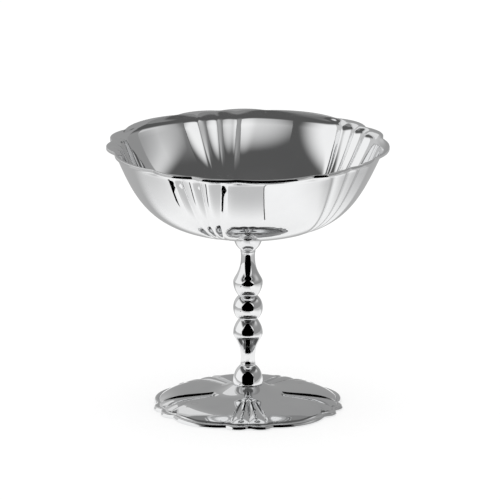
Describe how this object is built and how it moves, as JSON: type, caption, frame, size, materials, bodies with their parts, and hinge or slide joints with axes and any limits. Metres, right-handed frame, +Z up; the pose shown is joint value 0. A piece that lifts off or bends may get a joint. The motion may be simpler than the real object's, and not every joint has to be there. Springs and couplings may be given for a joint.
{
  "type": "footed ice cream bowl",
  "caption": "Polished steel footed bowl with a fluted, scalloped bowl on a turned baluster stem and a scalloped foot, clamped by a tie rod, for serving scoops of dessert.",
  "frame": {"origin": "on the table, under the stem's axis, at the middle of the foot", "axes": "+Z up along the stem, -Y towards the side that the picture shows, +X to its right"},
  "size_m": [0.0997, 0.0994, 0.0954],
  "materials": {
    "bowl_steel": "mirror-polished pressed stainless steel sheet",
    "stem_steel": "mirror-polished turned stainless steel",
    "foot_steel": "mirror-polished pressed stainless steel sheet, lightly worn on top",
    "plated_steel": "dull zinc-plated steel"
  },
  "bodies": {
    "root": {"bowl_shell": "bowl_steel", "bowl_boss": "plated_steel", "top_bell": "stem_steel", "upper_baluster": "stem_steel", "middle_bead": "stem_steel", "lower_baluster": "stem_steel", "bottom_bell": "stem_steel", "tie_rod": "plated_steel", "foot_shell": "foot_steel", "foot_washer": "plated_steel", "lock_washer": "plated_steel", "foot_nut": "plated_steel"}
  },
  "joints": []
}
